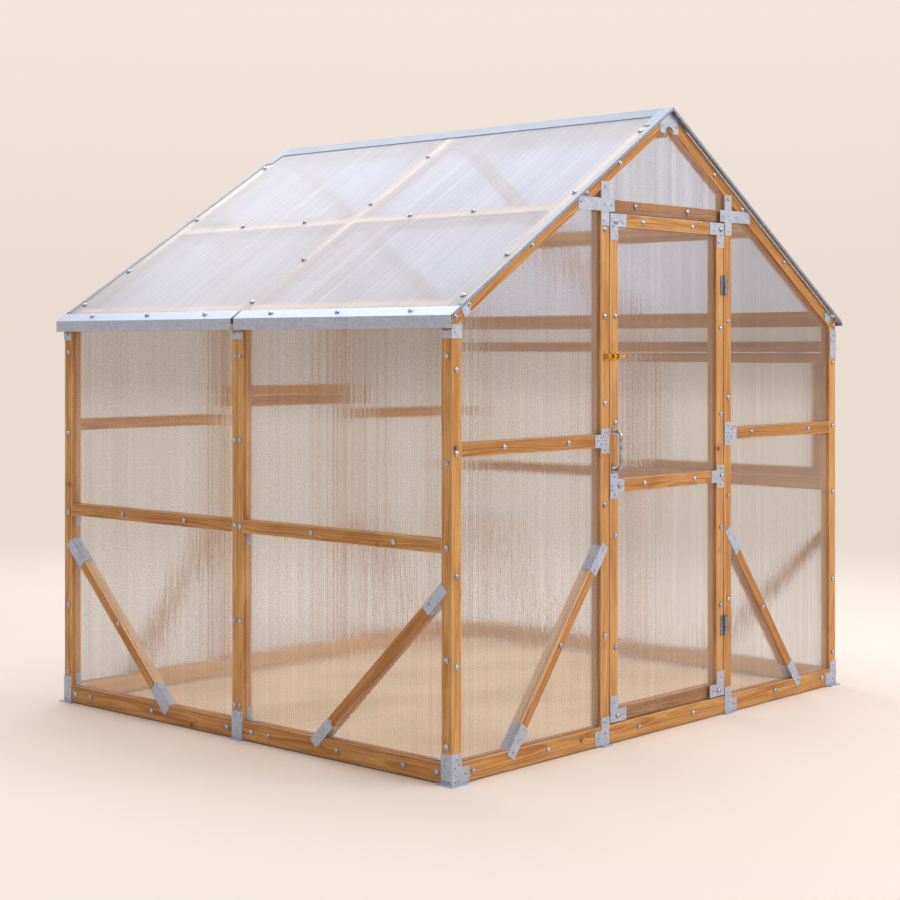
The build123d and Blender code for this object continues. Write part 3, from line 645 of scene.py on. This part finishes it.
def lathe(outline):
    """Points and faces of an outline turned round the Z axis, with one point at each end."""
    points = [Vector((0, 0, outline[0][1]))]
    angles = [2 * math.pi * i / turns for i in range(turns)]
    for r, h in outline[1:-1]:
        points += [Vector((r * math.cos(a), r * math.sin(a), h)) for a in angles]
    points.append(Vector((0, 0, outline[-1][1])))
    rows, faces = len(outline) - 2, []
    for i in range(turns):
        j = (i + 1) % turns
        faces.append((0, 1 + j, 1 + i))
        for r in range(rows - 1):
            a, b = 1 + r * turns, 1 + (r + 1) * turns
            faces.append((a + i, a + j, b + j, b + i))
        last = 1 + (rows - 1) * turns
        faces.append((last + i, last + j, len(points) - 1))
    return points, faces


print("screw outlines", len(washer_screw), len(plate_screw))

# %% [markdown]
# A screw's place is a point on the surface and the direction out of it. Each screw is turned a little further
# round its axis than the one before, so that they do not all catch the light alike.

# %% Many screws in one mesh
crease, turn_step = math.radians(50), 1.3


def drive_screws(name, outline, places, body, dark_below=0.0):
    """One mesh with a screw at each place. What lies lower than the dark height is dark: the rubber under a
    washer, which also stands for the shade round a screw's foot, and painted shade at the bottom of an empty
    hole."""
    shape, rings = lathe(outline)
    points, faces = [], []
    for number, (spot, out) in enumerate(places):
        spin = Matrix.Rotation(number * turn_step, 3, "Z")
        turn = Vector(out).to_track_quat("Z", "Y").to_matrix() @ spin
        first = len(points)
        points += [Vector(spot) + turn @ p for p in shape]
        faces += [tuple(first + i for i in face) for face in rings]
    mesh = bpy.data.meshes.new(name)
    mesh.from_pydata(points, [], faces)
    mesh.polygons.foreach_set("use_smooth", [True] * len(faces))
    mesh.materials.append(screw_steel)
    mesh.materials.append(dark_rubber_and_painted_shade)
    darkened = [max(shape[i].z for i in face) < dark_below for face in rings] * len(places)
    mesh.polygons.foreach_set("material_index", [int(dark) for dark in darkened])
    piece = put(name, mesh)
    piece.modifiers.new("crisp_edges", "EDGE_SPLIT").split_angle = crease
    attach(piece, body)
    print(name, len(places), "places", len(faces), "faces")


print("screws have", turns, "sides")

# %% [markdown]
# ### Where the screws go
# Posts and rails hold the sheet by washered screws about a hand's length or two apart. The places are written
# as distances along a wall and heights, and loops carry them to the wall behind or across, so that the house
# is as finished at its back as at its front.

# %% Places on the walls
batten_half = 0.0225
rail_middles = {-1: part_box("front_rails")[0].z + batten_half, 1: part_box("back_rails")[0].z + batten_half}
eave_height, rafter_rise, rafter_face_half = 1.480, 0.642, 0.0267


def on_gable(end, x, z, proud=0.0):
    """A place on the outer face of the front gable, end -1, or the back gable, end 1."""
    return (x, end * (half_depth + proud), z), (0, end, 0)


def on_side(side, y, z, proud=0.0):
    """A place on the outer face of the left wall, side -1, or the right wall, side 1."""
    return (side * (half_width + proud), y, z), (side, 0, 0)


def rafter_middle(x):
    """Height of the middle of a rafter's face."""
    return eave_height + (half_width - abs(x)) * rafter_rise - rafter_face_half


print("rails at", {end: round(z, 4) for end, z in rail_middles.items()})

# %% [markdown]
# The gables have screws in their posts, sills and braces, listed as they stand in the front gable, and more in
# the rails and along the rafters. The last two are in the sheet over the door.

# %% Screws in the gables
gable_screws = [(-1.138, 0.371), (-1.138, 0.653), (-1.138, 1.038), (-1.138, 1.300), (1.138, 0.135),
                (1.138, 0.435), (1.138, 0.788), (1.138, 1.055), (1.138, 1.310), (-0.378, 0.380),
                (-0.378, 0.829), (-0.378, 1.180), (-0.378, 1.478), (-0.378, 1.777), (0.380, 0.429),
                (0.380, 0.815), (0.380, 1.184), (0.380, 1.469), (-1.060, 0.032), (-0.686, 0.038),
                (-0.180, 0.036), (0.150, 0.036), (0.703, 0.040), (1.051, 0.042), (-0.620, 0.375),
                (0.620, 0.375)]
rail_screws, rafter_screws = (-0.908, -0.577, 0.538, 0.947), (0.290, 0.474, 0.767, 1.079, 1.142)
places = []
for end in (-1, 1):
    places += [on_gable(end, -end * x, z) for x, z in gable_screws]
    places += [on_gable(end, x, rail_middles[end]) for x in rail_screws]
    places += [on_gable(end, x, rafter_middle(x)) for r in rafter_screws for x in (-r, r)]
sheet_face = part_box("front_panels")[0].y
places += [((x, sheet_face, 1.866), (0, -1, 0)) for x in (-0.187, 0.130)]
drive_screws("gable_screws", washer_screw, places, "frame", seal_height)

# %% [markdown]
# The side walls have screws in the corner posts, in both middle posts, in the sill and in the rails, and one in
# the back brace. The right wall has an upper rail too.

# %% Screws in the side walls
sill_screws = (0.942, 0.848, 0.477, 0.056, -0.073, -0.163, -0.499, -0.804, -0.950)
side_rail_screws = (-0.762, -0.375, 0.290, 0.649)
mid_post_y = 0.0145
places = []
for side, rails in ((-1, "left_rails"), (1, "right_rails")):
    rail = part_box(rails)[0].z + batten_half
    front_top = 1.343 if side < 0 else 1.310
    places += [on_side(side, 0.9875, z) for z in (0.120, 0.378, 0.736, 1.042, 1.352)]
    places += [on_side(side, -0.9925, z) for z in (0.121, 0.391, 0.742, 1.009, front_top)]
    places += [on_side(side, y, z) for z in (0.119, 0.415, 0.748, 1.047, 1.341)
               for y in (-mid_post_y, mid_post_y)]
    places += [on_side(side, y, 0.036) for y in sill_screws]
    places += [on_side(side, y, rail) for y in side_rail_screws]
    places.append(on_side(side, 0.676, 0.336))
upper_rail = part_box("right_rails")[1].z - batten_half
places += [on_side(1, y, upper_rail) for y in (-0.640, -0.360, 0.290, 0.649)]
drive_screws("side_wall_screws", washer_screw, places, "frame", seal_height)

# %% [markdown]
# On the roof the screws go through the sheet into the purlins and the middle rafter, and through the folded
# trims along the eaves and the verges. Each leans with the slope.


# %% Screws in the roof
def on_roof(x, y, proud=0.0):
    """A place on the upper face of the roof sheet, or on a trim that lies proud of it."""
    side = 1 if x > 0 else -1
    out = Vector((side * math.sin(roof_pitch), 0, math.cos(roof_pitch)))
    return Vector((x, y, sheet_top(x))) + out * proud, out


plate = 0.002  # how far plates and trims stand out from what they lie on
places = []
for side in (-1, 1):
    places += [on_roof(side * 0.595, y) for y in (-0.602, -0.295, 0.262, 0.618)]
    places += [on_roof(side * x, 0.0) for x in (0.183, 0.500, 0.845, 1.091)]
    places += [on_roof(side * 1.160, end * y, plate) for y in (0.175, 0.503, 0.837) for end in (-1, 1)]
    places += [on_roof(side * x, end * 0.992) for x in (0.145, 0.520, 0.870, 1.083) for end in (-1, 1)]
drive_screws("roof_screws", washer_screw, places, "frame", seal_height)

# %% [markdown]
# The door has its own screws in stiles, rails and plates. They ride on the door, so they swing with it.

# %% Screws in the door
stile_screws = [(-0.318, z) for z in (0.332, 0.719, 1.111, 1.479)]
stile_screws += [(0.331, z) for z in (0.411, 0.702, 1.124, 1.443)]
door_rail_screws = [(-0.155, 1.812), (0.148, 1.812), (-0.148, 0.892), (0.160, 0.892)]
corner_screws = [(-0.316, 1.808), (0.329, 1.811), (-0.295, 0.891), (0.334, 0.894), (-0.309, 0.095),
                 (0.312, 0.095)]
places = [on_gable(-1, x, z) for x, z in stile_screws + door_rail_screws]
places += [on_gable(-1, x, z, plate) for x, z in corner_screws]
drive_screws("door_screws", washer_screw, places, "door", seal_height)

# %% [markdown]
# ### Screws in the plates
# The thin plates have small pan-head screws. They are listed for one quarter of the house and mirrored to the
# others, and the heights on the T-plates are counted from the middle of the rail.


# %% Screws in the plates
def on_gable_plates(end, side, spots, lift=0.0):
    """Places on the plates of a gable's left half, side -1, or right half, side 1."""
    return [on_gable(end, side * x, z + lift, plate) for x, z in spots]


def on_side_plates(end, side, spots):
    """Places on the plates of a side wall's front half, end -1, or back half, end 1."""
    return [on_side(side, end * y, z, plate) for y, z in spots]


strap_screws = [(0.381, 1.865), (0.345, 1.862), (0.384, 1.807), (0.427, 1.863), (0.511, 1.866), (0.378, 1.925)]
gable_cap_screws = [(0.868, 0.060), (0.815, 0.128), (0.440, 0.610), (0.390, 0.675)]
tee_screws = [(0.418, 0.005), (0.378, 0.004), (0.381, -0.030), (0.375, 0.030)]
shoe_screws = [(1.138, 0.083), (1.138, 0.030), (1.098, 0.033), (1.146, 1.421), (0.378, 0.046), (0.378, 0.085),
               (0.418, 0.033), (0.0435, 2.165)]
cap_screws = [(0.474, 0.129), (0.420, 0.042), (0.918, 0.562), (0.985, 0.602)]
side_shoe_screws = [(0.9925, 0.030), (0.9925, 0.082), (0.9925, 1.421), (mid_post_y, 0.088),
                    (mid_post_y, 1.421)]
quarters = [(end, side) for end in (-1, 1) for side in (-1, 1)]
places = []
for end, side in quarters:
    places += on_gable_plates(end, side, strap_screws + gable_cap_screws)
    places += on_gable_plates(end, side, tee_screws, rail_middles[end])
    places += on_gable_plates(end, side, shoe_screws)
    places += on_side_plates(end, side, cap_screws + side_shoe_screws)
drive_screws("plate_screws", plate_screw, places, "frame")
door_plates = [(0.283, 1.806), (0.316, 1.762), (0.325, 0.924), (0.325, 0.862), (0.280, 0.098), (0.326, 0.142)]
places = on_gable_plates(-1, -1, door_plates) + on_gable_plates(-1, 1, door_plates)
drive_screws("door_plate_screws", plate_screw, places, "door")

# %% [markdown]
# The smallest fixings are pins in the hinge leaves and in the bolt's case. Each leaf rides on its own body, and
# so do its pins.

# %% Pins in the hinges and the bolt
small_pin = [(r * 0.5, h * 0.4) for r, h in plate_screw]
pin_heights = [z + dz for z in (0.334, 1.603) for dz in (-0.025, 0.0, 0.025)]
drive_screws("hinge_pins", small_pin, [on_gable(-1, 0.3676, z, plate) for z in pin_heights], "frame")
bolt_pins = [(-0.341, 1.329), (-0.341, 1.353), (-0.308, 1.329), (-0.308, 1.353)]
door_leaf_pins = [(0.3364, z) for z in pin_heights]
drive_screws("door_pins", small_pin, on_gable_plates(-1, 1, door_leaf_pins + bolt_pins), "door")

# %% [markdown]
# Each window sash has a screw in every corner, where its battens meet.

# %% Screws in the sashes
low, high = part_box("back_window_sash")
heights = (low.z + batten_half, high.z - batten_half)
places = [((x, high.y, z), (0, 1, 0)) for x in (low.x + batten_half, high.x - batten_half) for z in heights]
low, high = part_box("side_window_sash")
heights = (low.z + batten_half, high.z - batten_half)
places += [((high.x, y, z), (1, 0, 0)) for y in (low.y + batten_half, high.y - batten_half) for z in heights]
drive_screws("sash_screws", plate_screw, places, "frame")

# %% [markdown]
# Some punched holes of the plates are left empty. An empty hole is a dimple with a turned edge and painted
# shade at its bottom, so the same lathe makes it.

# %% Empty holes
empty_hole = [(0.0, 0.0), (0.0030, 0.0), (0.0031, 0.0004), (0.0025, 0.0004), (0.0023, 0.0001), (0.0, 0.0001)]
# Painted shade: what lies below this height in an empty hole is dark.
painted_hole_shade_height = 0.0003
tee_holes = [(0.403, 0.014), (0.400, -0.011), (0.371, -0.012), (0.386, 0.017)]
cap_holes = [(0.842, 0.094), (0.826, 0.094), (0.425, 0.652)]
shoe_holes = [(1.147, 0.012), (1.129, 0.012), (1.147, 0.056), (1.129, 0.064)]
side_shoe_holes = [(1.001, 0.012), (0.983, 0.012), (0.983, 0.060)]
places = []
for end, side in quarters:
    places += on_gable_plates(end, side, tee_holes, rail_middles[end])
    places += on_gable_plates(end, side, cap_holes + shoe_holes)
    places += on_side_plates(end, side, side_shoe_holes)
drive_screws("plate_holes", empty_hole, places, "frame", painted_hole_shade_height)
door_holes = [(0.338, 0.893), (0.338, 0.878), (0.334, 1.79)]
places = on_gable_plates(-1, -1, door_holes) + on_gable_plates(-1, 1, door_holes)
drive_screws("door_plate_holes", empty_hole, places, "door", painted_hole_shade_height)

# %% [markdown]
# ## Studio
# A pale warm floor runs into a backdrop of the same colour. Near the house the floor is a matt surface that
# takes its soft shadow, and far away it fades into the backdrop, so no horizon shows. Inside the walls it is
# painted a darker tan with soft patches: painted shade, warm, for the light under the sheets.

# %% Floor and backdrop
horizon_colour, zenith_colour = rgb(234, 220, 208), rgb(242, 229, 218)
floor_mesh = bpy.data.meshes.new("studio_floor")
reach = 40
floor_corners = [(-reach, -reach, 0), (reach, -reach, 0), (reach, reach, 0), (-reach, reach, 0)]
floor_mesh.from_pydata(floor_corners, [], [(0, 1, 2, 3)])
floor = put("studio_floor", floor_mesh)
floor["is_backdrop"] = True
floor_finish, start, shader = new_finish("studio_floor")
x, y, z = split(start.add("ShaderNodeNewGeometry", output="Position"))
far = (x * x + y * y).math("SQRT").smooth(3.2, 8.5)
# Painted shade: inside the house's footprint the floor is painted a darker tan with soft patches.
inside = (1 - x.math("ABSOLUTE").smooth(1.05, 1.15)) * (1 - y.math("ABSOLUTE").smooth(0.9, 1.0))
inside_shade_patches = noise(start, join(start, x * 0.6, y, 0.0), 3.0, 3.0).smooth(0.35, 0.65)
inside_painted_shade = inside_shade_patches.tint(rgb(246, 222, 196), rgb(230, 203, 176))
link(inside.tint(rgb(248, 235, 225), inside_painted_shade), shader, "Base Color")
shader.inputs["Roughness"].default_value = 0.75
shader.inputs["Specular IOR Level"].default_value = 0.15
glow = start.add("ShaderNodeEmission", sockets={"Color": horizon_colour, "Strength": 1.0})
looking = ("Is Camera Ray", "Is Glossy Ray", "Is Transmission Ray")
matt = Wire(floor_finish.node_tree, shader.outputs[0])
show(start.add("ShaderNodeMixShader", sockets={0: far * rays(start, *looking), 1: matt, 2: glow}))
floor_mesh.materials.append(floor_finish)
print("floor", floor.name)

# %% [markdown]
# The world gives two things: for the rays that look at it, straight, in a mirror or through the sheet, the
# plain warm backdrop with a white ceiling above the frame, and for all others an even white light.

# %% World
world = bpy.data.worlds.new("studio")
bpy.context.scene.world = world
world.use_nodes = True
tree = world.node_tree
tree.nodes.clear()
start = Wire(tree)
ambient = start.add("ShaderNodeBackground", sockets={"Color": (1.0, 0.98, 0.96, 1.0), "Strength": 0.5})
height = split(start.add("ShaderNodeTexCoord", output="Generated"))[2]
backdrop_colour = height.smooth(0.0, 0.2).tint(horizon_colour, zenith_colour)
backdrop_colour = height.smooth(0.25, 0.5).tint(backdrop_colour, rgb(240, 243, 252))
backdrop = start.add("ShaderNodeBackground", sockets={"Color": backdrop_colour, "Strength": 1.0})
mixed = start.add("ShaderNodeMixShader", sockets={0: rays(start, *looking), 1: ambient, 2: backdrop})
output = tree.nodes.new("ShaderNodeOutputWorld")
tree.links.new(mixed.out, output.inputs["Surface"])
print("world nodes", len(tree.nodes))

# %% [markdown]
# Three wide lamps add the direction: one from the front right, which makes the gable brighter than the side
# wall, one overhead for the roof, and one behind, where the sheet and the trims on the near slope mirror it
# towards the camera.


# %% Lamps
def soft_box(name, place, target, size, power, colour):
    """A round area lamp that looks from its place at a target."""
    lamp = bpy.data.lights.new(name, "AREA")
    lamp.shape, lamp.size, lamp.energy, lamp.color = "DISK", size, power, colour
    box = put(name, lamp)
    box.location = place
    box.rotation_euler = (Vector(target) - Vector(place)).to_track_quat("-Z", "Y").to_euler()


soft_box("front_right_box", (2.5, -7.0, 5.0), (0, 0, 0.8), 5.0, 290, (1.0, 0.97, 0.93))
soft_box("overhead_box", (0.6, 0.3, 7.5), (0, 0, 1.0), 6.0, 225, (0.9, 0.95, 1.0))
soft_box("sheen_box", (1.7, 4.7, 6.5), (-0.6, 0, 1.8), 5.0, 150, (0.93, 0.96, 1.0))

# %% [markdown]
# ## Close
# The box of everything shown, the floor aside, is printed.

# %% Sizes and finish
low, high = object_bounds()
print("visual box", [round(v, 4) for v in low], [round(v, 4) for v in high])
